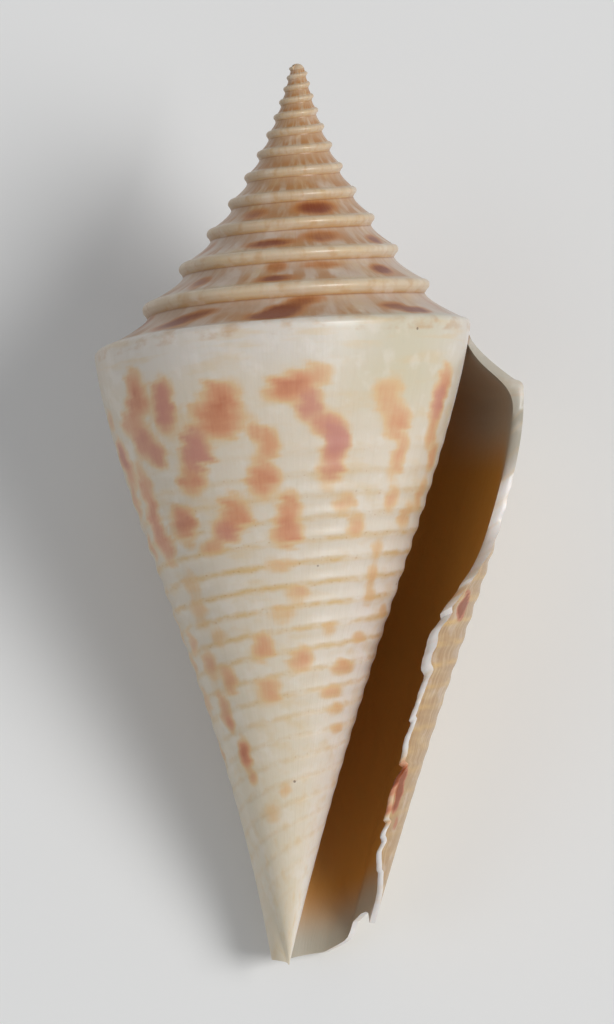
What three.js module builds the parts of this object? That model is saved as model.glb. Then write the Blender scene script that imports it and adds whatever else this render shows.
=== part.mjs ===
import * as THREE from "three";

// A cone shell, grown in one piece: a tall stepped spire, a cone of a last whorl with a sharp shoulder, and a long
// narrow aperture whose thin lip stands off the whorl behind it. Millimetres, +Z up.
//
// The shell is drawn along its own growth. "w" counts turns of growth up to the lip: 0 at the lip's shoulder, -1 one
// whole turn earlier, and -12.5 at the apex. "Depth" is measured from the apex down the coiling axis, and "row" runs
// over one whorl: 0 at the suture, 1 and 2 above and below the cord on the shoulder, 3 where the next whorl is
// attached, 4 where that whorl's hollow starts, and 5 at the foot of the shell.

// Whole shell
const LENGTH = 60; // apex to foot
const SHOULDER_RADIUS = 15.18; // of the shoulder at the lip
const WIDENING = 1.31; // how much wider each turn's shoulder is than the last
const NUCLEUS_RADIUS = 0.06; // what is left of the radius at the very start
const FIRST_TURN = -12.5;

// How deep the shoulder lies at each turn
const DESCENT = 25.26;
const DESCENT_GROWTH = 1.1449; // each turn goes down this much more than the last
const DESCENT_START = 4.4;
const LAST_DROP = 1.24; // the shoulder's extra drop at the lip
const LAST_DROP_TURNS = 0.447; // and how long before the lip it starts
const LEAN_FRONT = 0.1; // lean of the last whorl's plane, in radians
const LEAN_FRONT_START = 0.045; // and of the first whorl's, the other way
const LEAN_RIGHT = 0.0444;

// Cord on the shoulder and the step under it, at the lip
const CORD_DEPTH = 0.4;
const CORD_HEIGHT = 0.38;
const STEP_HEIGHT = 0.9;
const RAMP_HOLLOW = 1.4; // above 1, the ramp between two cords is concave

// Side of the cone, from shoulder to foot
const SIDE_BULGE = 0.551;
const SIDE_BULGE_FADE = 4.635;
const SIDE_HOLLOW = 0.173;
const FLARE = 5.92; // how far the lip's foot stands off the axis
const FLARE_SHAPE = 1.49;
const FLARE_TO = 0.1;
const FOOT_RISE = 2.85; // the foot is this much shorter at the lip
const FOOT_RISE_FROM = -0.4;

// Lip, hollow and wall
const LIP_FOOT = 0.02; // turns by which the lip's foot goes past its shoulder
const LIP_REACH = 0.094; // and its middle
const LIP_STARTS = [0.24, 0.44];
const LIP_ENDS = [0.84, 1];
const WALL = 0.8;
const WALL_FOOT = 0.5;
const ROOF = 0.6; // wall left above the hollow at the suture
const ROOF_DROP = 2.1; // the hollow's straight wall starts this far below the shoulder
const HOLLOW_END = -0.85; // turns by which the hollow runs back from the lip
const HOLLOW_CLOSING = 0.3; // share of that over which it closes

// The lie: on its back with the apex towards +Y and the aperture up, on a broad facet of the side of the cone
const ROLL_DEG = 9.2; // about the coiling axis
const PITCH_DEG = 14.865; // of the apex above the horizontal

// Fineness of the facets
const COLUMNS = 20; // in one turn
const BACK_BREADTH = 0.6; // facets are this much broader than even on the back, and narrower on the front
const FOOT_COLUMN = 11; // of the last turn, where the foot opens
const RAMP_ROWS = 2;
const CORD_ROWS = 2;
const SIDE_ROWS = 16;

const SHELL_COLOUR = 0xd9c9a8;

const { clamp, lerp, smoothstep, degToRad } = THREE.MathUtils;
const FLARE_FROM = -1 + turnAt(FOOT_COLUMN) * (1 + LIP_FOOT);
const HOLLOW_COLUMNS = COLUMNS - FOOT_COLUMN;

// Turns at a column. The columns crowd together on the front, where the aperture is, and stand apart on the back,
// where the facets have to be broad enough to lie on.
function turnAt(column) {
  const even = column / COLUMNS;
  const angle = 2 * Math.PI * even;
  return even + (BACK_BREADTH / (2 * Math.PI)) * (Math.cos(angle) - 1);
}

// Radius of the shoulder: it widens by the same factor in every turn.
function shoulderRadius(w) {
  return SHOULDER_RADIUS * WIDENING ** w + NUCLEUS_RADIUS;
}

// Depth of the shoulder: it goes down a little more in every turn, drops at the lip, and leans with its plane.
function shoulderDepth(w) {
  const radius = shoulderRadius(w);
  const size = radius / SHOULDER_RADIUS;
  const angle = 2 * Math.PI * w;
  const drop = LAST_DROP * Math.max(0, 1 + w / LAST_DROP_TURNS) ** 2;
  const lean =
    (LEAN_FRONT * size - LEAN_FRONT_START) * Math.sin(angle) +
    LEAN_RIGHT * size * Math.cos(angle);
  return DESCENT * DESCENT_GROWTH ** w - DESCENT_START + drop - radius * lean;
}

function footDepth(w) {
  const rise = clamp((w - FOOT_RISE_FROM) / (LIP_FOOT - FOOT_RISE_FROM), 0, 1);
  return LENGTH - FOOT_RISE * rise * rise;
}

// Radius and depth of the side at share s of the way from shoulder to foot: a nearly straight cone, with the foot
// standing off the axis as the last half turn opens.
function sidePoint(w, s) {
  const top = shoulderDepth(w);
  const cone =
    1 -
    s +
    SIDE_BULGE * s * (1 - s) ** SIDE_BULGE_FADE -
    SIDE_HOLLOW * s * s * (1 - s);
  const opening = smoothstep(w, FLARE_FROM, FLARE_TO);
  const flare = FLARE * opening * s * (FLARE_SHAPE + (1 - FLARE_SHAPE) * s);
  return [shoulderRadius(w) * cone + flare, lerp(top, footDepth(w), s)];
}

// Share of the side at which a given depth below the shoulder lies.
function sideShare(w, below) {
  return below / (footDepth(w) - shoulderDepth(w));
}

// Cords and steps are small on small whorls, but less so than the whorls are.
function relief(w) {
  return (shoulderRadius(w) / SHOULDER_RADIUS) ** 0.6;
}

function stepPoint(w) {
  return sidePoint(w, sideShare(w, STEP_HEIGHT * relief(w)));
}

// Radius and depth on the outside of the whorl at a row.
function outerPoint(w, row) {
  const radius = shoulderRadius(w);
  const depth = shoulderDepth(w);
  const cordDepth = CORD_DEPTH * relief(w);
  const cordHeight = CORD_HEIGHT * relief(w);
  if (row <= 1) {
    const suture = stepPoint(w - 1);
    return [
      lerp(suture[0], radius - cordDepth, row ** RAMP_HOLLOW),
      lerp(suture[1], depth - cordHeight, row),
    ];
  }
  if (row <= 2) {
    const around = degToRad(lerp(-90, 30, row - 1));
    return [
      radius + cordDepth * (Math.cos(around) - 1),
      depth + cordHeight * Math.sin(around),
    ];
  }
  const roofShare = sideShare(w, STEP_HEIGHT * relief(w) + ROOF);
  if (row <= 3) return stepPoint(w);
  if (row <= 4) return sidePoint(w, roofShare);
  return sidePoint(w, lerp(roofShare, 1, row - 4));
}

// Where the lip is, in turns past its shoulder, at share s of the side.
function lipTurns(s) {
  const reach = smoothstep(s, ...LIP_STARTS);
  const back = smoothstep(s, ...LIP_ENDS);
  return (
    LIP_FOOT * Math.min(1, s * 8) +
    (LIP_REACH - LIP_FOOT) * reach * (1 - back)
  );
}

const CAP_ROWS = RAMP_ROWS + CORD_ROWS + 2;
const ALL_ROWS = CAP_ROWS + SIDE_ROWS;

// The row at a line of the grid: the ramp, the cord, the step, the roof, and then the side.
function rowOf(line) {
  if (line <= RAMP_ROWS) return line / RAMP_ROWS;
  if (line <= RAMP_ROWS + CORD_ROWS) return 1 + (line - RAMP_ROWS) / CORD_ROWS;
  if (line <= CAP_ROWS) return line - RAMP_ROWS - CORD_ROWS + 2;
  return 4 + (line - CAP_ROWS) / SIDE_ROWS;
}

function lipAt(line) {
  return lipTurns(Math.max(0, (line - CAP_ROWS) / SIDE_ROWS));
}

function hollowEndAt(line) {
  const s = Math.max(0, (line - CAP_ROWS) / SIDE_ROWS);
  return lerp(HOLLOW_END, FLARE_FROM, s * s);
}

// Inner face of the wall around the hollow: under the roof along a curve, and then down the wall, at a wall's
// thickness inside the outer face. Towards its end the hollow closes onto the whorl inside it.
function innerPoint(w, line) {
  const end = hollowEndAt(line);
  const s = Math.max(0, (line - CAP_ROWS) / SIDE_ROWS);
  const open = smoothstep((w - end) / (lipAt(line) - end), 0, HOLLOW_CLOSING);
  const start = sideShare(w, ROOF_DROP * relief(w));
  const share = lerp(start, 1, s);
  const [outside, depth] = sidePoint(w, share);
  const inside = sidePoint(w - 1, share)[0];
  const room = outside - inside;
  const wall = lerp(WALL, WALL_FOOT, s);
  const thickness = (wall * room) / (room + wall);
  const closed = outerPoint(w - 1, 4 + s);
  let opened = [outside - thickness, depth];
  if (line < CAP_ROWS) {
    const step = shoulderRadius(w) - shoulderRadius(w - 1);
    const roofEnd = lerp(closed[1], shoulderDepth(w), 0.8);
    const roof = new THREE.CubicBezierCurve(
      new THREE.Vector2(...closed),
      new THREE.Vector2(closed[0] + 0.3 * step, roofEnd),
      new THREE.Vector2(shoulderRadius(w) - 0.08 * step, roofEnd),
      new THREE.Vector2(...opened),
    );
    opened = roof.getPoint(line / CAP_ROWS).toArray();
  }
  return [lerp(closed[0], opened[0], open), lerp(closed[1], opened[1], open)];
}

// Corner points are shared by every face that meets there.
const WELD = 1e5; // corners closer than its inverse are one
const corners = new Map();
const positions = [];
const triangles = [];

function corner(w, [radius, depth]) {
  const angle = 2 * Math.PI * w;
  const place = [radius * Math.cos(angle), -depth, radius * Math.sin(angle)];
  const key = place.map((value) => Math.round(value * WELD)).join();
  if (!corners.has(key)) {
    corners.set(key, corners.size);
    positions.push(...place);
  }
  return corners.get(key);
}

function triangle(a, b, c) {
  if (a !== b && b !== c && c !== a) triangles.push(a, b, c);
}

// A grid of faces between the corners that cornerAt gives for each column and line.
function sheet(columns, lines, cornerAt) {
  for (let column = 0; column < columns; column += 1) {
    for (let line = 0; line < lines; line += 1) {
      const a = cornerAt(column, line);
      const b = cornerAt(column + 1, line);
      const c = cornerAt(column + 1, line + 1);
      const d = cornerAt(column, line + 1);
      triangle(a, b, c);
      triangle(a, c, d);
    }
  }
}

// Spire: one ribbon from the first turn to the start of the last, whose lower edge is the suture of the next turn.
const SPIRE_COLUMNS = (-1 - FIRST_TURN) * COLUMNS;
const STEP_LINE = CAP_ROWS - 1;
function spireCorner(column, line) {
  const w = turnAt(FIRST_TURN * COLUMNS + column);
  return corner(w, outerPoint(w, rowOf(line)));
}
sheet(SPIRE_COLUMNS, STEP_LINE, spireCorner);

// Apex: a small dome over the first turn.
const apex = corner(0, [0, 0]);
for (let column = 0; column < COLUMNS; column += 1) {
  triangle(apex, spireCorner(column + 1, 0), spireCorner(column, 0));
}
for (let line = 0; line < STEP_LINE; line += 1) {
  triangle(apex, spireCorner(0, line), spireCorner(0, line + 1));
}

// Last whorl, from suture to foot and round to the lip.
function lastWhorlCorner(column, line) {
  const w = -1 + turnAt(column) * (1 + lipAt(line));
  return corner(w, outerPoint(w, rowOf(line)));
}
sheet(COLUMNS, ALL_ROWS, lastWhorlCorner);

// The whorl inside the hollow, which the last whorl's own surface runs on into.
sheet(HOLLOW_COLUMNS, SIDE_ROWS, (column, line) => {
  const end = hollowEndAt(CAP_ROWS + line);
  const w = -1 + (1 - column / HOLLOW_COLUMNS) * end;
  return corner(w, outerPoint(w, 4 + line / SIDE_ROWS));
});

// Inside of the wall and roof.
function innerCorner(column, line) {
  const end = hollowEndAt(line);
  const w = lerp(lipAt(line), end, column / HOLLOW_COLUMNS);
  const point = line === 0 ? outerPoint(w - 1, 4) : innerPoint(w, line);
  return corner(w, point);
}
sheet(HOLLOW_COLUMNS, ALL_ROWS, innerCorner);

// Edge of the lip, from the suture to the foot, and edge of the foot, from the lip back to the tip.
sheet(1, ALL_ROWS, (column, line) =>
  column === 0 ? lastWhorlCorner(COLUMNS, line) : innerCorner(0, line),
);
sheet(HOLLOW_COLUMNS, 1, (column, line) =>
  line === 0
    ? innerCorner(column, ALL_ROWS)
    : lastWhorlCorner(COLUMNS - column, ALL_ROWS),
);

const geometry = new THREE.BufferGeometry();
geometry.setAttribute(
  "position",
  new THREE.Float32BufferAttribute(positions, 3),
);
geometry.setIndex(triangles);
geometry.computeVertexNormals();

const shell = new THREE.Mesh(
  geometry,
  new THREE.MeshStandardMaterial({
    color: SHELL_COLOUR,
    roughness: 0.35,
    metalness: 0,
  }),
);
shell.name = "shell";
shell.rotation.set(degToRad(PITCH_DEG), degToRad(ROLL_DEG), 0, "XYZ");

// The shell lies on z = 0 with the origin under the middle of its box.
const coneShell = new THREE.Group();
coneShell.add(shell);
coneShell.updateMatrixWorld(true);
const box = new THREE.Box3().setFromObject(shell, true);
const middle = box.getCenter(new THREE.Vector3());
shell.position.set(-middle.x, -middle.y, -box.min.z);

export default coneShell;
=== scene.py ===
import bpy
import numpy as np
from mathutils import Matrix, Vector


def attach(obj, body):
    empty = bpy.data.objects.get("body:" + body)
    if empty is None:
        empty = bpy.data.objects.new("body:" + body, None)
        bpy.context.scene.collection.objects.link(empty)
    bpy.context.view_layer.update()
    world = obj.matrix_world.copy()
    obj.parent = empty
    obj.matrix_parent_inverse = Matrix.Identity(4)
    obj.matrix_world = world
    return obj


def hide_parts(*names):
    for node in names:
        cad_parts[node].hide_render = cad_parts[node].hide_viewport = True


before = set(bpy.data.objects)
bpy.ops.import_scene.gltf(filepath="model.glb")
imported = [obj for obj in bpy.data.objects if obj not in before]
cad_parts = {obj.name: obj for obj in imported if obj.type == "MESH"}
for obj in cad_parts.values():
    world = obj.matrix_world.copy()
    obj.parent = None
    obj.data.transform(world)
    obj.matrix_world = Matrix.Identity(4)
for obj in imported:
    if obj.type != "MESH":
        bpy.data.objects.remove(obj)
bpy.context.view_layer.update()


# The shell: one coiled tube of chalk, laid down turn after turn round an axis by the animal at its lip.
# Every place on it has a turn w (0 at the lip's shoulder, -1 one turn earlier, -12.5 at the apex) and a row
# down the whorl (0 suture, 1 and 2 above and below the shoulder's cord, 3 where the next whorl is fixed on,
# 4 where that whorl's hollow begins, 5 foot). Lengths are millimetres, and depths go down from the apex.
LENGTH = 60.0
SHOULDER_RADIUS = 15.18
WIDENING = 1.31
NUCLEUS_RADIUS = 0.06
FIRST_TURN = -12.5
DESCENT, DESCENT_GROWTH, DESCENT_START = 25.26, 1.1449, 4.4
LAST_DROP, LAST_DROP_TURNS = 1.24, 0.447
LEAN_FRONT, LEAN_FRONT_START, LEAN_RIGHT = 0.1, 0.045, 0.0444

COLUMNS = 160
BACK_BREADTH = 0.45
FOOT_COLUMN = 81
RAMP_ROWS, CORD_ROWS, STEP_ROWS, ROOF_ROWS, SIDE_ROWS = 7, 7, 2, 4, 180
STEP_LINE = RAMP_ROWS + CORD_ROWS + STEP_ROWS
CAP_LINE = STEP_LINE + ROOF_ROWS
ALL_LINES = CAP_LINE + SIDE_ROWS
HOLLOW_COLUMNS = COLUMNS - FOOT_COLUMN


def ease(x, start, end):
    """0 before start, 1 after end, and between them t * t * (3 - 2 t) of the share t of the way."""
    t = np.clip((x - start) / (end - start), 0, 1)
    return t * t * (3 - 2 * t)


def mix(a, b, share):
    """a at share 0, b at share 1, and a straight line between."""
    return a + (b - a) * share


def turn_at(column):
    """Turns at a column: a cosine wave once round brings the columns closer together on the marked front."""
    even = column / COLUMNS
    return even + BACK_BREADTH / (2 * np.pi) * (np.cos(2 * np.pi * even) - 1)


def shoulder_radius(w):
    """The shoulder widens by the same factor in every turn: radius times widening to the power w."""
    return SHOULDER_RADIUS * WIDENING**w + NUCLEUS_RADIUS


def shoulder_depth(w):
    """The shoulder goes down a little more in every turn, drops at the lip, and its plane leans a little."""
    radius = shoulder_radius(w)
    size = radius / SHOULDER_RADIUS
    angle = 2 * np.pi * w
    drop = LAST_DROP * np.clip(1 + w / LAST_DROP_TURNS, 0, None) ** 2
    lean = (LEAN_FRONT * size - LEAN_FRONT_START) * np.sin(angle)
    lean += LEAN_RIGHT * size * np.cos(angle)
    return DESCENT * DESCENT_GROWTH**w - DESCENT_START + drop - radius * lean


# The side of the cone, from the shoulder to the foot: nearly straight, with low flat cords winding round it
# and narrow grooves between them. The foot stands off the axis as the last half turn opens into the lip.
SIDE_BULGE, SIDE_BULGE_FADE, SIDE_HOLLOW = 0.551, 4.635, 0.173
LIP_FOOT = 0.02
FLARE, FLARE_SHAPE, FLARE_TO = 5.92, 1.49, 0.1
FLARE_HELD, HELD_UNTIL = 0.3, (-0.53, -0.38)
FLARE_FROM = -1 + turn_at(FOOT_COLUMN) * (1 + LIP_FOOT)
FOOT_TURNS = [-0.6, -0.55, -0.5, -0.42, -0.25, -0.2, -0.15, -0.105, -0.09, -0.08, -0.072, -0.045, -0.02, 0,
              LIP_FOOT]
FOOT_RISES = [0.0, 0.04, 0.18, 0.32, 0.4, 0.65, 0.85, 1.5, 1.75, 2.3, 2.9, 3.45, 3.6, 3.5, 2.85]
CORDS = 30
CORD_DRIFT = 1.22
CORD_RELIEF = 0.125
CORDS_START, CORDS_FADE, CORDS_LOST = (0.1, 0.32), (0.72, 0.97), 0.8
SWELLS_FADE = (0.3, 0.95)


def foot_depth(w):
    """Depth of the foot's edge: the shell's length less the rises of its broken rim, joined by lines."""
    return LENGTH - np.interp(w, FOOT_TURNS, FOOT_RISES)


def cord_count(w, s):
    """Which cord a place is on: cords times share, over the drift that takes them down as the whorl grows."""
    return CORDS * s * CORD_DRIFT ** -(w + 1)


def cord_strength(s):
    """How strong the cords are: none at the shoulder, full in the middle, fading again towards the foot."""
    return ease(s, *CORDS_START) * (1 - CORDS_LOST * ease(s, *CORDS_FADE))


def side_point(w, s, corded=True):
    """Radius and depth at share s down the side: a cone 1 - s with a bulge s (1 - s) to a power under the
    shoulder, a hollow s s (1 - s) below it, the foot's flare, and a cosine swell for every cord."""
    cone = 1 - s + SIDE_BULGE * s * (1 - s) ** SIDE_BULGE_FADE - SIDE_HOLLOW * s * s * (1 - s)
    opening = ease(w, FLARE_FROM, FLARE_TO) * mix(FLARE_HELD, 1, ease(w, *HELD_UNTIL))
    flare = FLARE * opening * s * (FLARE_SHAPE + (1 - FLARE_SHAPE) * s)
    radius = shoulder_radius(w) * cone + flare
    if corded:
        swell = (0.5 - 0.5 * np.cos(2 * np.pi * cord_count(w, s))) * (1 - ease(s, *SWELLS_FADE))
        radius = radius + CORD_RELIEF * cord_strength(s) * swell
    return radius, mix(shoulder_depth(w), foot_depth(w), s)


def side_share(w, below):
    """Share of the side that lies a given depth below the shoulder."""
    return below / (foot_depth(w) - shoulder_depth(w))


# The spire: each whorl's top shows as a hollow ramp from the suture out to a rounded cord, and a short
# undercut step leads from the cord down to the next suture.
RIM_DEPTH, RIM_HEIGHT, RIM_TURN_IN, LAST_TURN_IN = 0.55, 0.48, 50, 8
STEP_HEIGHT, TUCK = 0.72, 0.34
SMOOTH_FROM = -1.15
RELIEF_POWER = 0.38
RAMP_HOLLOW = 1.4
ROOF = 0.6


def relief(w):
    """Size of cords and steps: the whorl's size to a power below 1, so small whorls keep large cords."""
    return (shoulder_radius(w) / SHOULDER_RADIUS) ** RELIEF_POWER


def step_point(w):
    """Radius and depth of the line where the next whorl is fixed on: a step below the cord, tucked under."""
    radius, depth = side_point(w, side_share(w, STEP_HEIGHT * relief(w)))
    return radius - TUCK * relief(w) * (1 - ease(w, SMOOTH_FROM, -1)), depth


def rim_point(w, share):
    """Radius and depth on the shoulder's cord: part of an ellipse, from its top round to its undercut."""
    angle = np.radians(mix(-90, mix(RIM_TURN_IN, LAST_TURN_IN, ease(w, SMOOTH_FROM, -1)), share))
    size = relief(w)
    radius = shoulder_radius(w) + RIM_DEPTH * size * (np.cos(angle) - 1)
    return radius, shoulder_depth(w) + RIM_HEIGHT * size * np.sin(angle)


def outer_point(w, row):
    """Radius and depth of the outside at a turn and row: the ramp, the cord, the step, and then the side."""
    suture, top = step_point(w - 1), rim_point(w, 0)
    up = np.clip(row, 0, 1)
    ramp = mix(suture[0], top[0], up**RAMP_HOLLOW), mix(suture[1], top[1], up)
    rim = rim_point(w, np.clip(row - 1, 0, 1))
    down = np.clip(row - 2, 0, 1)
    step = [mix(a, b, down) for a, b in zip(rim_point(w, 1), step_point(w))]
    fixed = side_share(w, STEP_HEIGHT * relief(w))
    roof = side_share(w, STEP_HEIGHT * relief(w) + ROOF)
    share = np.where(row < 4, mix(fixed, roof, np.clip(row - 3, 0, 1)), mix(roof, 1, np.clip(row - 4, 0, 1)))
    side = side_point(w, share)
    parts = [row <= 1, row <= 2, row <= 3]
    return [np.select(parts, [ramp[k], rim[k], step[k]], side[k]) for k in (0, 1)]


# The lip and the hollow behind it: the outer lip is thin and has broken back in small steps. Behind it the
# hollow runs on round the axis under the whorl's roof, and narrows until it closes. Chips are (share of the
# side, turns bitten out, share of the side until it is whole again), waves (turns, waves, part of a wave).
LIP_REACH = 0.098
LIP_STARTS, LIP_ENDS, FOOT_REACHED = (0.215, 0.425), (0.84, 1.0), 0.125
CHIPS = [(0.335, 0.002, 0.03), (0.392, 0.006, 0.03), (0.503, 0.006, 0.05), (0.6, 0.004, 0.03),
         (0.688, 0.012, 0.028), (0.8, 0.008, 0.02), (0.836, 0.01, 0.03), (0.9, 0.005, 0.02)]
CHIP_EDGE = 0.006
LIP_WAVES = [(0.0014, 7, 0), (0.0009, 19, 0.1), (0.0003, 57, 0.4)]
ROUGH_FROM, ROUGH_UNTIL = (0.2, 0.34), (0.97, 1.0)
WALL, WALL_THIN, WALL_THINS = 0.85, 0.42, (0.44, 0.56)
ROOF_DROP = 2.1
HOLLOW_END, HOLLOW_CLOSING = -0.85, 0.3
ROOF_LEVEL, AXIS_HANDLE, WALL_HANDLE = 0.8, 0.3, 0.08


def row_of(line):
    """Row at a line of the grid, counted from the suture."""
    starts = np.cumsum([0, RAMP_ROWS, CORD_ROWS, STEP_ROWS, ROOF_ROWS, SIDE_ROWS])
    return np.interp(line, starts, [0, 1, 2, 3, 4, 5])


def side_of(line):
    """Share of the side at a line of the grid, counted from the roof: 0 for every line above it."""
    return np.clip((line - CAP_LINE) / SIDE_ROWS, 0, 1)


def lip_at(line):
    """Turns by which the lip goes past its shoulder: a reach forwards in its middle, less waves and chips."""
    s = side_of(line)
    reach = LIP_FOOT * np.minimum(1, s / FOOT_REACHED)
    reach = reach + (LIP_REACH - LIP_FOOT) * ease(s, *LIP_STARTS) * (1 - ease(s, *LIP_ENDS))
    rough = sum(high * np.sin(2 * np.pi * (waves * s + part)) for high, waves, part in LIP_WAVES)
    for start, bite, length in CHIPS:
        above, below = ease(s, start - CHIP_EDGE, start), 1 - ease(s, start, start + length)
        rough = rough - bite * np.where(s < start, above, below)
    return reach + rough * ease(s, *ROUGH_FROM) * (1 - ease(s, *ROUGH_UNTIL))


def hollow_end_at(line):
    """Turn at which the hollow closes: far back under the roof, nearer to the lip with the share squared."""
    return mix(HOLLOW_END, FLARE_FROM, side_of(line) ** 2)


def bezier(t, a, b, c, d):
    """Cubic Bezier curve from a to d with handles b and c."""
    u = 1 - t
    return u**3 * a + 3 * u * u * t * b + 3 * u * t * t * c + t**3 * d


def inner_point(w, line):
    """Radius and depth inside the hollow: a Bezier curve under the roof, then the outside less the wall."""
    end, s = hollow_end_at(line), side_of(line)
    opening = ease((w - end) / (lip_at(line) - end), 0, HOLLOW_CLOSING)
    share = mix(side_share(w, ROOF_DROP * relief(w)), 1, s)
    outside, depth = side_point(w, share, corded=False)
    room = outside - side_point(w - 1, share, corded=False)[0]
    wall = mix(WALL, WALL_THIN, ease(s, *WALL_THINS))
    wall_radius = outside - wall * room / (room + wall + 1e-9)
    closed = outer_point(w - 1, 4 + s)
    step = shoulder_radius(w) - shoulder_radius(w - 1)
    roof_end = mix(closed[1], shoulder_depth(w), ROOF_LEVEL)
    t = np.clip(line / CAP_LINE, 0, 1)
    handles = closed[0] + AXIS_HANDLE * step, shoulder_radius(w) - WALL_HANDLE * step
    open_radius = bezier(t, closed[0], *handles, wall_radius)
    open_depth = bezier(t, closed[1], roof_end, roof_end, depth)
    return mix(closed[0], open_radius, opening), mix(closed[1], open_depth, opening)


# The skin of the shell is made of grids that meet edge to edge and are welded into one closed surface: the
# spire, the dome of the apex, the last whorl, the whorl before it inside the hollow, the inside of the wall,
# and the broken edges of the lip and the foot.
APEX_BLUNT = 0.35


def place(w, radius_depth):
    """Points with +X to the lip, +Y to the apex and +Z out of the aperture. The depth is averaged with its root
    of squares with the bluntness, which rounds off the apex."""
    angle = 2 * np.pi * w
    radius, depth = radius_depth
    depth = (depth + np.hypot(depth, APEX_BLUNT)) / 2
    return np.stack([radius * np.cos(angle), -depth, radius * np.sin(angle)], axis=-1)


def grid(columns, lines):
    """Column and line numbers of a grid with that many steps each way."""
    return np.meshgrid(np.arange(columns + 1.0), np.arange(lines + 1.0), indexing="ij")


OUTSIDE, INSIDE, BROKEN = 0, 1, 2
sheets = []

column, line = grid(round((-1 - FIRST_TURN) * COLUMNS), STEP_LINE)
turn = turn_at(FIRST_TURN * COLUMNS + column)
spire = place(turn, outer_point(turn, row_of(line)))
sheets.append((spire, turn, row_of(line), OUTSIDE))

DOME_LINES, DOME_ROW, DOME_SHAPE = 5, 1.5, 2.5
ring = np.concatenate([spire[: COLUMNS + 1, 0], spire[0, ::-1][1:]])
out = np.linspace(0, 1, DOME_LINES + 1)[None, :, None]
dome = ring[:, None] * np.concatenate([out, out**DOME_SHAPE, out], axis=-1)
turn = np.broadcast_to(FIRST_TURN + 0 * dome[..., 0], dome.shape[:2])
sheets.append((dome, turn, np.full_like(turn, DOME_ROW), OUTSIDE))

column, line = grid(COLUMNS, ALL_LINES)
turn = -1 + turn_at(column) * (1 + lip_at(line))
last_whorl = place(turn, outer_point(turn, row_of(line)))
sheets.append((last_whorl, turn, row_of(line), OUTSIDE))


def inwards(column):
    """Share of the way from the lip to the hollow's end, stepped as the columns of the outside are."""
    return (1 - turn_at(COLUMNS - column)) / (1 - turn_at(FOOT_COLUMN))


column, line = grid(HOLLOW_COLUMNS, SIDE_ROWS)
turn = -1 + inwards(HOLLOW_COLUMNS - column) * hollow_end_at(CAP_LINE + line)
row = 4 + line / SIDE_ROWS
sheets.append((place(turn, outer_point(turn, row)), turn, row, OUTSIDE))

column, line = grid(HOLLOW_COLUMNS, ALL_LINES)
turn = mix(lip_at(line), hollow_end_at(line), inwards(column))
inner = place(turn, inner_point(turn, line))
sheets.append((inner, turn, row_of(line), INSIDE))

LIP_SWELL, SWELL_STARTS, SWELL_STOPS = 0.14, (2, 20), (12, 0)
LIP_CRUMBLE, CRUMBLE_WAVES = 0.025, [(1.9, 5), (0.73, 11)]
across = np.linspace(0, 1, ROOF_ROWS + 1)
line = np.arange(ALL_LINES + 1.0)
lip = mix(last_whorl[-1][None], inner[0][None], across[:, None, None])
lip[:, 0] = last_whorl[0, STEP_LINE : CAP_LINE + 1]
forwards = np.gradient(last_whorl, axis=0)[-1]
forwards /= np.linalg.norm(forwards, axis=-1, keepdims=True) + 1e-9
fades = ease(line, *SWELL_STARTS) * (1 - ease(line, *(ALL_LINES - lines for lines in SWELL_STOPS)))
away = np.sin(np.pi * across)[:, None] * fades
crumble = np.prod([np.sin(line * a + across[:, None] * b) for a, b in CRUMBLE_WAVES], axis=0)
lip = lip + forwards[None] * (away * (LIP_SWELL + LIP_CRUMBLE * crumble))[..., None]
column, line = grid(ROOF_ROWS, ALL_LINES)
sheets.append((lip, lip_at(line), row_of(line), BROKEN))

foot = mix(inner[:, -1][:, None], last_whorl[::-1, -1][: HOLLOW_COLUMNS + 1][:, None], across[None, :, None])
column, line = grid(HOLLOW_COLUMNS, ROOF_ROWS)
turn = mix(LIP_FOOT, FLARE_FROM, inwards(column))
sheets.append((foot, turn, np.full_like(turn, 5), BROKEN))

# Corners that lie together are welded, quads that close up become triangles, and the rest stay quads. The
# marks of each sheet are kept for every corner of every face, so they stay sharp where two sheets meet.
WELD_STEPS_PER_MM = 1e5
SHARP_ANGLE = 48
points = np.concatenate([p.reshape(-1, 3) for p, *_ in sheets])
turns = np.concatenate([np.ravel(t) for _, t, *_ in sheets])
rows = np.concatenate([np.ravel(r) for _, _, r, _ in sheets])
kinds = np.concatenate([np.full(p.shape[0] * p.shape[1], k) for p, *_, k in sheets])
quads, start = [], 0
for sheet, *_ in sheets:
    number = start + np.arange(sheet.shape[0] * sheet.shape[1]).reshape(sheet.shape[:2])
    corners = [number[:-1, :-1], number[1:, :-1], number[1:, 1:], number[:-1, 1:]]
    quads.append(np.stack(corners, axis=-1).reshape(-1, 4))
    start += number.size
quads = np.concatenate(quads)
keys = np.round(points * WELD_STEPS_PER_MM).astype(np.int64)
_, first, corner = np.unique(keys, axis=0, return_index=True, return_inverse=True)
corner = corner.reshape(-1)
doubled = corner[quads] == corner[np.roll(quads, -1, axis=1)]
whole = quads[doubled.sum(axis=1) == 0]
closing = doubled.sum(axis=1) == 1
triangles = quads[closing][~doubled[closing]].reshape(-1, 3)
skin = bpy.data.meshes.new("shell_skin")
order = np.concatenate([whole.ravel(), triangles.ravel()])

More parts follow.
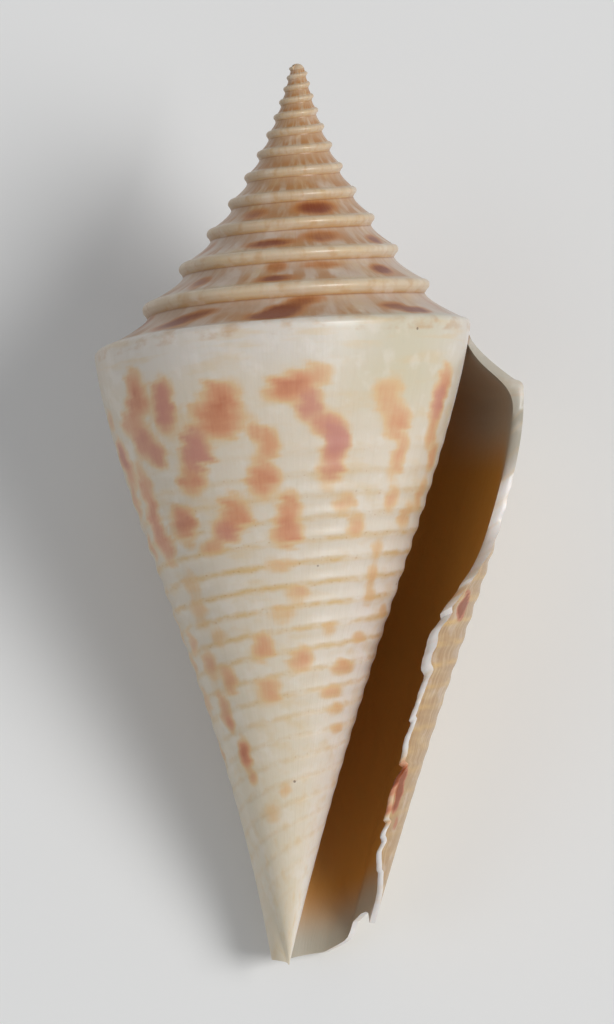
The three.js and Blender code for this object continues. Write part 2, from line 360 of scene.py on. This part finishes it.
# It lies on its back, as the frame's part does: rolled about its axis, its apex pitched up, its middle over
# the origin and its lowest point on the ground.
ROLL, PITCH = np.radians(9.2), np.radians(14.865)
turned = Matrix.Rotation(PITCH, 3, "X") @ Matrix.Rotation(ROLL, 3, "Y")
placed = points[first] @ np.array(turned).T
middle = (placed.max(axis=0) + placed.min(axis=0)) / 2
shift = np.array([middle[0], middle[1], placed[:, 2].min()])
vertices = (placed - shift) / 1000
skin.from_pydata(vertices.tolist(), [], corner[whole].tolist() + corner[triangles].tolist())
skin.set_sharp_from_angle(angle=np.radians(SHARP_ANGLE))
shell = bpy.data.objects.new("cone_shell", skin)
bpy.context.scene.collection.objects.link(shell)


# Colour: the shell is creamy white all through. Pigment laid down with it makes orange-brown blotches with
# mauve hearts on the side, red-brown and ochre patches on the ramps of the spire, and broken ochre lines in
# the grooves. Inside it is glazed brown, darker deep in the hollow with painted shade.
# Blotches are (turn, share of the side, length along the growth, height, strength, mauve).
BLOTCHES = [
    (-0.59, 0.034, 1.2, 1.1, 0.75, 0), (-0.588, 0.068, 1.3, 1.4, 0.95, 0.1),
    (-0.568, 0.096, 1.3, 1.1, 0.85, 0), (-0.583, 0.128, 1.4, 1.2, 0.95, 0.4),
    (-0.599, 0.156, 1.0, 1.1, 0.85, 0.5), (-0.622, 0.078, 1.1, 2.0, 0.95, 0.6),
    (-0.681, 0.075, 1.6, 1.3, 0.8, 0), (-0.677, 0.108, 2.1, 1.4, 1.0, 0.1),
    (-0.649, 0.155, 1.4, 1.5, 0.85, 0.7), (-0.638, 0.202, 1.1, 1.3, 0.85, 0.3),
    (-0.712, 0.138, 0.5, 0.8, 0.65, 0), (-0.725, 0.157, 0.9, 1.2, 0.8, 0.1),
    (-0.718, 0.21, 1.1, 1.5, 0.9, 0.2), (-0.745, 0.07, 1.6, 1.0, 1.0, 0.2),
    (-0.764, 0.05, 1.5, 0.9, 0.7, 0), (-0.764, 0.1, 1.1, 1.1, 0.85, 0.6),
    (-0.782, 0.128, 1.1, 1.0, 0.85, 0.5), (-0.793, 0.156, 1.0, 1.1, 0.85, 0.8),
    (-0.79, 0.195, 1.1, 1.6, 0.8, 0.5), (-0.842, 0.09, 1.3, 1.5, 0.65, 0.1),
    (-0.862, 0.13, 1.2, 1.3, 0.8, 0.1), (-0.875, 0.169, 0.7, 0.9, 0.6, 0),
    (-0.87, 0.2, 0.9, 1.1, 0.65, 0), (-0.878, 0.251, 0.8, 1.0, 0.6, 0.1),
    (-0.912, 0.281, 0.9, 1.1, 0.6, 0), (-0.925, 0.062, 1.1, 1.2, 0.8, 0),
    (-0.92, 0.1, 1.1, 1.6, 0.95, 0.5), (-0.924, 0.148, 0.9, 1.1, 0.75, 0.1),
    (-0.944, 0.184, 0.9, 1.1, 0.75, 0.1), (-0.939, 0.246, 0.9, 1.2, 0.65, 0),
    (-0.526, 0.139, 1.1, 1.3, 0.95, 0.4), (-0.533, 0.173, 1.1, 1.1, 0.8, 0),
    (-0.562, 0.205, 1.0, 1.9, 0.9, 0.1), (-0.558, 0.264, 1.1, 1.8, 1.0, 0.2),
    (-0.565, 0.305, 1.1, 1.3, 0.8, 0.1), (-0.611, 0.272, 1.2, 1.4, 1.0, 0.3),
    (-0.684, 0.262, 1.2, 1.4, 0.9, 0.1), (-0.669, 0.29, 1.1, 0.9, 0.8, 0.5),
    (-0.648, 0.314, 1.1, 0.6, 0.75, 0), (-0.745, 0.261, 0.9, 1.1, 0.85, 0.2),
    (-0.744, 0.297, 1.1, 1.1, 0.9, 0.3), (-0.809, 0.259, 0.8, 0.9, 0.65, 0),
    (-0.829, 0.296, 0.8, 0.9, 0.65, 0), (-0.596, 0.365, 0.9, 1.2, 0.5, 0),
    (-0.734, 0.352, 1.1, 0.6, 0.5, 0), (-0.757, 0.4, 1.0, 0.8, 0.55, 0),
    (-0.735, 0.431, 1.1, 0.7, 0.5, 0), (-0.593, 0.416, 1.0, 1.3, 0.5, 0),
    (-0.872, 0.332, 0.6, 0.9, 0.5, 0), (-0.873, 0.375, 0.6, 0.9, 0.55, 0),
    (-0.879, 0.408, 0.8, 0.7, 0.55, 0), (-0.935, 0.432, 0.8, 0.6, 0.5, 0),
    (-0.701, 0.481, 0.9, 1.0, 0.7, 0), (-0.763, 0.506, 0.9, 1.0, 0.65, 0),
    (-0.703, 0.552, 0.9, 1.1, 0.7, 0), (-0.582, 0.499, 0.9, 1.2, 0.7, 0),
    (-0.621, 0.529, 0.8, 1.1, 0.75, 0), (-0.543, 0.462, 0.8, 1.0, 0.6, 0),
    (-0.622, 0.456, 0.8, 0.9, 0.5, 0), (-0.586, 0.572, 0.7, 1.3, 0.75, 0.1),
    (-0.594, 0.598, 0.45, 0.7, 0.85, 0), (-0.617, 0.65, 0.6, 1.1, 1.15, 0),
    (-0.628, 0.69, 0.4, 0.6, 0.7, 0), (-0.68, 0.749, 0.7, 0.8, 0.45, 0),
    (-0.732, 0.715, 0.5, 0.6, 0.45, 0), (-0.813, 0.459, 0.6, 0.7, 0.5, 0),
    (-0.879, 0.473, 0.8, 0.5, 0.55, 0), (-0.856, 0.52, 1.1, 0.55, 0.65, 0),
    (-0.839, 0.559, 1.0, 0.55, 0.6, 0), (-0.859, 0.588, 0.8, 0.5, 0.55, 0),
    (-0.875, 0.619, 0.7, 0.5, 0.5, 0), (0.068, 0.384, 0.8, 1.5, 2.2, 0),
    (0.09, 0.738, 0.6, 2.3, 2.2, 0), (0.076, 0.805, 0.5, 0.8, 1.2, 0),
    (0.012, 0.56, 0.6, 2.4, 0.6, 0), (0.01, 0.66, 0.4, 1.6, 0.5, 0),
]
# The sides away from the photo carry rows of blotches like them, (share of the side, length, height,
# strength), each shifted, sized and coloured a little by chance.
HIDDEN_ROWS = [(0.08, 1.2, 1.2, 0.9), (0.14, 1.0, 1.2, 0.85), (0.21, 0.9, 1.2, 0.75), (0.28, 1.0, 1.3, 0.8),
               (0.42, 0.9, 0.9, 0.5), (0.5, 0.9, 1.1, 0.65), (0.57, 0.9, 1.2, 0.65), (0.66, 0.7, 1.2, 0.5)]
HIDDEN_TURNS = np.arange(-0.5, 0.02, 0.048)
TURN_SPREAD, SHARE_SPREAD, SIZE_SPREAD, BOLD_MEAN, BOLD_SPREAD, MAUVE_FROM = 0.02, 0.022, 0.3, 0.85, 0.3, 0.3
rng = np.random.default_rng(11)
for level, length, height, strength in HIDDEN_ROWS:
    for turn in HIDDEN_TURNS:
        late, low, wide, tall, bold, mauve = rng.uniform(-1, 1, 6)
        place_at = turn + TURN_SPREAD * late, level + SHARE_SPREAD * low
        size = length * (1 + SIZE_SPREAD * wide), height * (1 + SIZE_SPREAD * tall)
        look = strength * (BOLD_MEAN + BOLD_SPREAD * bold), max(0, mauve - MAUVE_FROM)
        BLOTCHES.append((*place_at, *size, *look))
# Patches on the ramps are (turn, share of the ramp, length along the growth, share of its width, strength).
PATCHES = [
    (-0.737, 0.66, 1.5, 0.34, 1.15), (-0.722, 0.82, 1.6, 0.2, 1.0),
    (-0.752, 0.3, 1.0, 0.35, 0.7), (-0.772, 0.16, 1.0, 0.25, 0.6),
    (-0.633, 0.55, 1.6, 0.26, 0.9), (-0.618, 0.74, 1.6, 0.2, 0.9),
    (-0.65, 0.36, 1.3, 0.22, 0.6), (-0.537, 0.3, 1.2, 0.4, 0.8),
    (-0.88, 0.8, 1.7, 0.16, 1.1), (-0.859, 0.6, 1.3, 0.2, 0.85),
    (-1.614, 0.6, 1.0, 0.3, 0.8), (-1.725, 0.8, 1.5, 0.18, 1.0),
    (-1.722, 0.25, 0.9, 0.35, 0.65), (-1.79, 0.25, 1.8, 0.25, 0.6),
    (-1.883, 0.6, 1.1, 0.3, 1.05), (-2.706, 0.68, 1.9, 0.26, 0.95),
    (-2.558, 0.5, 0.8, 0.4, 0.6), (-2.8, 0.45, 1.7, 0.4, 0.75),
    (-2.913, 0.75, 0.9, 0.3, 0.9), (-3.796, 0.5, 1.8, 0.5, 0.95),
    (-3.65, 0.6, 1.2, 0.4, 0.7),
]
# The ramps' hidden halves have patches too. Each number is given as its mean and its spread.
HIDDEN_RAMPS, HIDDEN_FROM, HIDDEN_STEP, STEP_SPREAD = 4, 0.46, 0.07, 0.035
PATCH_LEVEL, PATCH_LENGTH, PATCH_WIDTH, PATCH_STRENGTH = (0.6, 0.3), (1.2, 0.7), 0.28, (0.6, 0.5)
for whorl in range(HIDDEN_RAMPS):
    for turn in np.arange(-whorl - HIDDEN_FROM, -whorl, HIDDEN_STEP):
        late, *chances = rng.uniform(-1, 1, 4)
        spreads = zip((PATCH_LEVEL, PATCH_LENGTH, PATCH_STRENGTH), chances)
        level, length, strength = [mean + spread * chance for (mean, spread), chance in spreads]
        PATCHES.append((turn + STEP_SPREAD * late, level, length, PATCH_WIDTH, strength))

SIDE_LENGTH = 43.0
share = np.clip(rows - 4, 0, 1)
on_side = (rows >= 3) & (kinds == OUTSIDE)
on_ramp = (rows <= 1) & (kinds == OUTSIDE)
from_axis = np.hypot(points[:, 0], points[:, 2])


def wander(u, v, seed):
    """A smooth wandering number of about -1 to 1: the sum of four crossed sine waves, over 3."""
    waves = [(1.7, 1.1, 1), (-1.3, 2.9, 2), (3.7, 0.9, 3), (2.3, 4.9, 5)]
    return sum(np.sin(across * u + down * v + count * seed) for across, down, count in waves) / 3


def daub(spots, where, down, unit, spread, warp):
    """Soft daubs with wavering outlines: strength times e to the minus cube of the distance, in daub sizes.
    They add up as the root of the sum of their squares, and so do their mauve hearts."""
    reach = 0.12
    total, heart = np.zeros(len(points)), np.zeros(len(points))
    for turn, level, length, height, strength, *mauve in spots:
        near = where & (np.abs(turns - turn) < reach)
        around = turns[near] * 2 * np.pi * from_axis[near]
        depth = down[near] * unit
        waver = warp * min(length, height)
        u = around - turn * 2 * np.pi * from_axis[near] + waver * wander(around, depth, 1)
        v = depth - level * unit + waver * wander(around, depth, 4)
        daubed = strength * np.exp(-((u / (spread * length)) ** 2 + (v / (spread * height)) ** 2) ** 1.5)
        total[near] += daubed**2
        if mauve:
            heart[near] += (daubed * mauve[0]) ** 2
    return np.sqrt(total), np.sqrt(heart)


AXIS_BARE = 0.5
BLOTCH_SPREAD, BLOTCH_WARP = 1.05, 0.28
marked_side = (on_side & (from_axis > AXIS_BARE)) | (kinds == BROKEN)
down_side = np.where(rows < 4, 0, share)
stain, mauve = daub(BLOTCHES, marked_side, down_side, SIDE_LENGTH, BLOTCH_SPREAD, BLOTCH_WARP)
patch, _ = daub(PATCHES, on_ramp, rows, 1.0, 1.0, 0.0)


def paint(red, green, blue):
    """A colour given in the eye's 0 to 255, as the light it sends back: its share to the power 2.2."""
    return (np.array([red, green, blue]) / 255) ** 2.2


def blend(colour, other, share):
    """One colour laid over another with a different share at every corner."""
    return mix(np.broadcast_to(colour, (len(points), 3)), other, share[:, None])


# The ground colour of the outside, whiter or browner by where it is on the side, the cords and the ramps.
CREAM, YELLOW_CREAM, WARM_WHITE = paint(219, 206, 187), paint(220, 206, 174), paint(218, 209, 198)
SHADE_GREY_CREAM, OLIVE_CREAM, WHITE = paint(204, 190, 169), paint(202, 192, 162), paint(238, 232, 226)
RIM_CREAM, UPPER_RIM = paint(210, 190, 162), paint(206, 182, 152)
LILAC_WHITE, OCHRE_RAMP = paint(200, 180, 164), paint(178, 132, 80)
LIP_BEIGE = paint(172, 134, 88)
under_shoulder = 1 - ease(share, 0.0, 0.06)
lower_side = ease(share, 0.3, 0.8)
# painted shade: the cream is greyer on the left flank, away from the key light, and on round the back
left_flank_shade = ease(turns, -0.6, -0.5) * (1 - ease(share, 0.4, 0.7))
olive_place = np.exp(-(((turns + 0.86) / 0.07) ** 2)) * (1 - ease(share, 0.05, 0.17))
inner_lip_top = (1 - ease(turns, -0.99, -0.955)) * (1 - ease(share, 0.14, 0.2))
inner_lip_below = (1 - ease(turns, -0.93, -0.76)) * ease(share, 0.25, 0.45)
outer_lip = ease(turns, -0.09, 0.05) * ease(share, 0.15, 0.32)
on_spire = (rows < 3.5) * (turns < -0.999)
# painted shade under each cord: the undercut step down to the next suture is given the ramps' ochre
undercut_shade = ease(rows, 2.0, 3.0) * on_spire
ramp_inside_cord = on_ramp * (1 - ease(rows, 0.8, 1.0))
old = ease(-turns, 2.2, 4.2)

ground = blend(CREAM, WARM_WHITE, under_shoulder)
ground = blend(ground, YELLOW_CREAM, 0.4 * lower_side)
# painted shade on the left flank
ground = blend(ground, SHADE_GREY_CREAM, 0.8 * left_flank_shade)
ground = blend(ground, OLIVE_CREAM, 0.75 * olive_place)
ground = blend(ground, WHITE, 0.8 * inner_lip_top)
ground = blend(ground, WHITE, 0.75 * inner_lip_below)
ground = blend(ground, LIP_BEIGE, 0.9 * outer_lip)
ground = blend(ground, blend(RIM_CREAM, UPPER_RIM, old), on_spire)
# painted shade under each cord, in the ochre of the ramps
ground = blend(ground, OCHRE_RAMP, undercut_shade)
ground = blend(ground, blend(LILAC_WHITE, OCHRE_RAMP, 0.15 + 0.5 * old), ramp_inside_cord)

# The inside: a brown glaze with painted shade, brown deep in the hollow, taupe by the lip's top and pale at
# the foot where it opens; the broken edges are white shell, greyer at the top.
SHADED_GLAZE_BROWN, GLAZE_TAUPE, GLAZE_PALE = paint(206, 146, 70), paint(194, 174, 150), paint(176, 168, 150)
BROKEN_WHITE, BROKEN_GREY = paint(228, 222, 218), paint(182, 176, 162)
line_starts = np.cumsum([0, RAMP_ROWS, CORD_ROWS, STEP_ROWS, ROOF_ROWS, SIDE_ROWS])
lip_turns = lip_at(np.interp(rows, range(6), line_starts))
behind_lip = (lip_turns - turns) * 2 * np.pi * np.maximum(from_axis, 1)
# painted shade: the inside is darkest brown deep in the hollow and pales towards the foot
glaze_and_shade = blend(SHADED_GLAZE_BROWN, GLAZE_PALE, ease(share, 0.87, 0.985))
glaze_and_shade = blend(glaze_and_shade, GLAZE_TAUPE, (1 - ease(share, 0.0, 0.12)) * (1 - ease(behind_lip, 5, 14)))
glaze_and_shade = blend(glaze_and_shade, BROKEN_GREY, 0.8 * (1 - ease(share, 0.06, 0.2)) * (1 - ease(behind_lip, 0.5, 3.0)))
broken = blend(BROKEN_GREY, BROKEN_WHITE, ease(share, 0.07, 0.16))
glaze_and_shade = blend(glaze_and_shade, broken, 1 - ease(behind_lip, 0.1, 0.4))
ground = np.where((kinds == INSIDE)[:, None], glaze_and_shade, ground)
ground = np.where((kinds == BROKEN)[:, None], broken, ground)

# Marks that every corner of the skin carries, three numbers each: the ground colour; the places in the growth
# for the noises; cord number, cord strength and ochre line; stain, mauve and patch; row, age and inside.
NOISE_UNITS_ROUND, NOISE_UNITS_RAMP, NOISE_SIDE_FROM = 60.0, 1.2, 5
OCHRE_LEAST, OCHRE_AT, OCHRE_WIDE, OCHRE_FROM = 0.35, 0.38, 0.2, (-1.0, -0.97)
grown = turns - 0.6 * lip_turns * ease(turns, -0.35, 0.0)
down = np.where(rows < 4, rows * NOISE_UNITS_RAMP, NOISE_SIDE_FROM + share * SIDE_LENGTH)
scoring = np.stack([grown * NOISE_UNITS_ROUND, down, 0 * turns], axis=-1)
ochre_band = OCHRE_LEAST + (1 - OCHRE_LEAST) * np.exp(-(((share - OCHRE_AT) / OCHRE_WIDE) ** 2))
ochre = cord_strength(share) * ochre_band * ease(turns, *OCHRE_FROM)
carving = np.stack([cord_count(turns, share), cord_strength(share) * on_side, ochre * on_side], axis=-1)
tints = np.stack([stain, mauve, patch], axis=-1)
near_lip = ease(turns, -0.08, 0.05) * (kinds == OUTSIDE)
banding = np.stack([np.clip(rows, 0, 5), old + 2 * near_lip, (kinds == INSIDE) * 1.0], axis=-1)
marks = {"ground": ground, "scoring": scoring, "carving": carving, "tints": tints, "banding": banding}
for name, values in marks.items():
    layer = skin.attributes.new(name, "FLOAT_VECTOR", "CORNER")
    layer.data.foreach_set("vector", np.ascontiguousarray(values[order], dtype=np.float32).ravel())

# The shell's own stuff: a hard, slightly waxy gloss with a little light let through. Slopes are given as the
# values where they begin and end, and the last number of a product is how strongly its pigment is laid on.
chalk = bpy.data.materials.new("glazed_shell")
chalk.use_nodes = True
tree = chalk.node_tree
gloss = tree.nodes["Principled BSDF"]


def node(kind, inputs, **settings):
    """A node of the material, its inputs set to numbers or joined to other nodes' outputs."""
    made = tree.nodes.new(kind)
    for key, value in settings.items():
        setattr(made, key, value)
    for key, value in inputs.items():
        if isinstance(value, bpy.types.NodeSocket):
            tree.links.new(value, made.inputs[key])
        else:
            made.inputs[key].default_value = value
    return made


def maths(operation, a, b=0.0):
    """One piece of arithmetic on one or two numbers."""
    return node("ShaderNodeMath", {0: a, 1: b}, operation=operation).outputs[0]


def plus(a, b):
    """a + b."""
    return maths("ADD", a, b)


def minus(a, b):
    """a - b."""
    return maths("SUBTRACT", a, b)


def times(product, *others):
    """All the numbers multiplied together."""
    for other in others:
        product = maths("MULTIPLY", product, other)
    return product


def slope(value, low, high):
    """0 below low, 1 above high, smooth between."""
    inputs = {"Value": value, "From Min": low, "From Max": high}
    return node("ShaderNodeMapRange", inputs, interpolation_type="SMOOTHSTEP").outputs[0]


def fall(value, low, high):
    """1 below low, 0 above high, smooth between."""
    return minus(1.0, slope(value, low, high))


def over(colour, pigment, share):
    """A pigment laid over a colour."""
    inputs = {0: share, 6: colour, 7: (*pigment, 1.0)}
    return node("ShaderNodeMix", inputs, data_type="RGBA").outputs[2]


def mark(name):
    """A mark that every corner of the skin carries."""
    return node("ShaderNodeAttribute", {}, attribute_name=name).outputs["Vector"]


def numbers(vector):
    """The three numbers of a mark."""
    return node("ShaderNodeSeparateXYZ", {0: vector}).outputs


def cloudy(at, scale, detail):
    """Cloudy noise."""
    return node("ShaderNodeTexNoise", {"Vector": at, "Scale": scale, "Detail": detail}).outputs["Fac"]


def streaky(along, down, detail):
    """Noise that follows the growth, with so many streaks to a unit along the growth and down the whorl."""
    stretched = node("ShaderNodeMapping", {"Vector": growth, "Scale": (along, down, 1.0)})
    return cloudy(stretched.outputs[0], 1.0, detail)


def off_whole(number):
    """How far a number is from the nearest whole number."""
    return maths("ABSOLUTE", minus(maths("FRACT", plus(number, 0.5)), 0.5))


here = node("ShaderNodeTexCoord", {}).outputs["Object"]
growth = mark("scoring")
cord, corded, ochre_line = numbers(mark("carving"))
stained, mauved, patched = numbers(mark("tints"))
row_at, oldness, inside = numbers(mark("banding"))
outside = minus(1.0, inside)
near_lip_at = slope(oldness, 0.6, 2.0)
off_lip = minus(1.0, near_lip_at)
clouds, fine = cloudy(here, 700.0, 3.0), cloudy(here, 2600.0, 2.0)
scores = streaky(4.5, 0.4, 2.0)

# tan streaks, ochre smudges and white clouds all over the outside
STREAK_TAN, SMUDGE_OCHRE, CLOUD_WHITE = paint(190, 172, 140), paint(216, 186, 136), paint(238, 231, 224)
colour = over(mark("ground"), STREAK_TAN, times(slope(streaky(2.2, 0.22, 2.0), 0.45, 0.75), outside, 0.1))
colour = over(colour, SMUDGE_OCHRE, times(slope(streaky(0.3, 0.75, 3.0), 0.48, 0.72), outside, 0.38))
colour = over(colour, CLOUD_WHITE, times(slope(clouds, 0.5, 0.7), outside, 0.22))

# rough dark and pale growth lines by the lip
LIP_LINE_BROWN, LIP_LINE_PALE = paint(156, 112, 70), paint(216, 190, 154)
rough_lines = streaky(4.5, 0.25, 3.0)
colour = over(colour, LIP_LINE_BROWN, times(slope(rough_lines, 0.45, 0.7), near_lip_at, 0.34))
colour = over(colour, LIP_LINE_PALE, times(fall(rough_lines, 0.32, 0.5), near_lip_at, 0.3))

# ochre lines in the grooves, wavering, broken into dashes and dotted with brown grit
GROOVE_OCHRE, GRIT_BROWN = paint(210, 172, 108), paint(172, 118, 58)
line_at = plus(cord, times(minus(streaky(0.8, 0.8, 2.0), 0.5), 0.22))
ochre_lines = times(fall(off_whole(line_at), 0.0, 0.25), ochre_line)
colour = over(colour, GROOVE_OCHRE, times(ochre_lines, slope(streaky(0.4, 1.1, 3.0), 0.28, 0.62), 0.75))
colour = over(colour, GRIT_BROWN, times(ochre_lines, slope(streaky(5.0, 5.0, 1.0), 0.66, 0.72), 0.7))

# blotches: an ochre halo and a salmon middle, but not by the lip, then rust, dark rust and a mauve heart
HALO_OCHRE, SALMON, HEART_MAUVE = paint(220, 183, 134), paint(210, 138, 102), paint(194, 134, 126)
RUST, DARK_RUST = paint(180, 94, 64), paint(138, 66, 18)
ragged = plus(times(minus(clouds, 0.5), 0.45), times(minus(scores, 0.5), 0.18))
blotch = plus(stained, times(ragged, slope(stained, 0.05, 0.4)))
colour = over(colour, HALO_OCHRE, times(slope(blotch, 0.1, 0.5), off_lip, 0.8))
colour = over(colour, SALMON, times(slope(blotch, 0.35, 0.95), off_lip, 0.8))
colour = over(colour, RUST, times(slope(blotch, 0.8, 1.3), 0.75))
colour = over(colour, DARK_RUST, times(slope(blotch, 1.2, 1.7), 0.9))
heart = slope(plus(mauved, times(ragged, 0.5)), 0.15, 0.65)
colour = over(colour, HEART_MAUVE, times(heart, slope(mauved, 0.02, 0.15), 0.7))

# the ramps of the spire: ochre streaks, red-brown patches, streaks on the cords, and a brown line in the
# suture, painted shade of the undercut
RAMP_OCHRE, PATCH_OCHRE, PATCH_BROWN = paint(174, 116, 56), paint(184, 116, 54), paint(124, 50, 10)
CORD_OCHRE, SUTURE_SHADE_BROWN = paint(190, 146, 94), paint(150, 98, 56)
ramp = times(fall(row_at, 0.9, 1.02), outside)
ramp_streaks = streaky(0.8, 0.5, 3.0)
streaked = slope(plus(ramp_streaks, times(oldness, 0.05)), 0.42, 0.62)
more_below = plus(0.4, times(slope(row_at, 0.25, 0.8), 0.6))
colour = over(colour, RAMP_OCHRE, times(streaked, more_below, ramp, 0.8))
ramp_patch = plus(patched, times(ragged, slope(patched, 0.05, 0.4)))
colour = over(colour, PATCH_OCHRE, times(slope(ramp_patch, 0.12, 0.6), 0.8))
colour = over(colour, PATCH_BROWN, times(slope(ramp_patch, 0.4, 1.0), 0.95))
on_cord = times(slope(row_at, 0.95, 1.1), fall(row_at, 2.6, 3.0), outside)
colour = over(colour, CORD_OCHRE, times(slope(ramp_streaks, 0.46, 0.7), on_cord, 0.5))
# painted shade: a brown line along the suture, under the cord above
colour = over(colour, SUTURE_SHADE_BROWN, times(fall(row_at, 0.0, 0.09), ramp, 0.6))

# tiny brown specks, in one cell out of six
SPECK_BROWN = paint(96, 66, 44)
cells = node("ShaderNodeTexVoronoi", {"Vector": here, "Scale": 460.0})
specked = slope(numbers(cells.outputs["Color"])[0], 0.84, 0.86)
colour = over(colour, SPECK_BROWN, times(fall(cells.outputs["Distance"], 0.03, 0.055), specked, 0.7))

tree.links.new(colour, gloss.inputs["Base Color"])
tree.links.new(plus(0.32, times(clouds, 0.16)), gloss.inputs["Roughness"])
gloss.inputs["Coat Weight"].default_value = 0.25
gloss.inputs["Coat Roughness"].default_value = 0.22
gloss.inputs["Subsurface Weight"].default_value = 0.12
gloss.inputs["Subsurface Radius"].default_value = (1.0, 0.6, 0.4)
gloss.inputs["Subsurface Scale"].default_value = 0.0008
grooves = times(fall(off_whole(cord), 0.03, 0.17), corded, 0.25)
height = minus(plus(times(scores, 0.24), times(fine, 0.15)), grooves)
bumps = node("ShaderNodeBump", {"Height": height, "Strength": 0.5, "Distance": 0.0001})
tree.links.new(bumps.outputs[0], gloss.inputs["Normal"])
skin.materials.append(chalk)

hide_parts("shell")
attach(shell, "root")


# The floor: a plain pale matt sheet, wide enough to fill the picture.
FLOOR_HALF = 1.5
floor_mesh = bpy.data.meshes.new("floor")
corners = [(-FLOOR_HALF, -FLOOR_HALF, 0), (FLOOR_HALF, -FLOOR_HALF, 0), (FLOOR_HALF, FLOOR_HALF, 0),
           (-FLOOR_HALF, FLOOR_HALF, 0)]
floor_mesh.from_pydata(corners, [], [(0, 1, 2, 3)])
floor = bpy.data.objects.new("floor", floor_mesh)
bpy.context.scene.collection.objects.link(floor)
matt = bpy.data.materials.new("pale_matt")
matt.use_nodes = True
matt.node_tree.nodes["Principled BSDF"].inputs["Base Color"].default_value = (0.88, 0.88, 0.87, 1)
matt.node_tree.nodes["Principled BSDF"].inputs["Roughness"].default_value = 0.9
floor_mesh.materials.append(matt)


# The camera looks straight at the aperture's side of the shell, from high above the floor, with the shell's
# axis nearly upright in the picture. Its place is worked out beside the unturned shell, in millimetres, and
# then turned and shifted as the shell is.
DISTANCE = 700.0
PIXELS_PER_MM, PICTURE_HEIGHT = 15.033, 1024
SENSOR = 36.0
NEAREST, FARTHEST = 0.01, 20.0
LOOK_AT = np.array([0.9, -29.87, 0.0])
LOOK_UP_FROM = 0.03
AXIS_LEAN = 0.0095


def in_room(point):
    """A point beside the unturned shell, turned, shifted and made metres."""
    return (np.array(turned) @ point - shift) / 1000


backwards = np.array([0, -np.sin(LOOK_UP_FROM), np.cos(LOOK_UP_FROM)])
upwards = np.array([-AXIS_LEAN, 1.0, 0.0])
rightwards = np.cross(upwards, backwards)
rightwards /= np.linalg.norm(rightwards)
upwards = np.cross(backwards, rightwards)
axes = np.array(turned) @ np.stack([rightwards, upwards, backwards], axis=1)
eye = in_room(LOOK_AT + DISTANCE * backwards)
lens = bpy.data.cameras.new("camera")
lens.sensor_fit = "VERTICAL"
lens.sensor_height = SENSOR
lens.lens = PIXELS_PER_MM * DISTANCE * SENSOR / PICTURE_HEIGHT
lens.clip_start, lens.clip_end = NEAREST, FARTHEST
camera = bpy.data.objects.new("camera", lens)
camera.matrix_world = Matrix.Translation(Vector(eye)) @ Matrix(axes.tolist()).to_4x4()
bpy.context.scene.collection.objects.link(camera)
bpy.context.scene.camera = camera


# The light: one large soft window up and to the right, a weaker one on the left, and an even pale room.
SHELL_MIDDLE = 0.013


def window(name, direction, distance, size, power):
    """A square area light that looks at the shell from a direction given beside the unturned shell."""
    data = bpy.data.lights.new(name, "AREA")
    data.size, data.energy = size, power
    lamp = bpy.data.objects.new(name, data)
    direction = np.array(turned) @ (np.array(direction) / np.linalg.norm(direction))
    lamp.location = Vector(direction * distance) + Vector((0, 0, SHELL_MIDDLE))
    lamp.rotation_euler = Vector(direction).to_track_quat("Z", "Y").to_euler()
    bpy.context.scene.collection.objects.link(lamp)


window("key", (0.7, 0.05, 1.0), 1.6, 0.66, 16.0)
window("fill", (-1.0, 0.1, 0.9), 1.6, 1.0, 1.4)
room = bpy.data.worlds.new("room")
room.use_nodes = True
room.node_tree.nodes["Background"].inputs["Color"].default_value = (0.95, 0.97, 1.0, 1)
room.node_tree.nodes["Background"].inputs["Strength"].default_value = 0.34
bpy.context.scene.world = room
bpy.context.scene.view_settings.view_transform = "Standard"
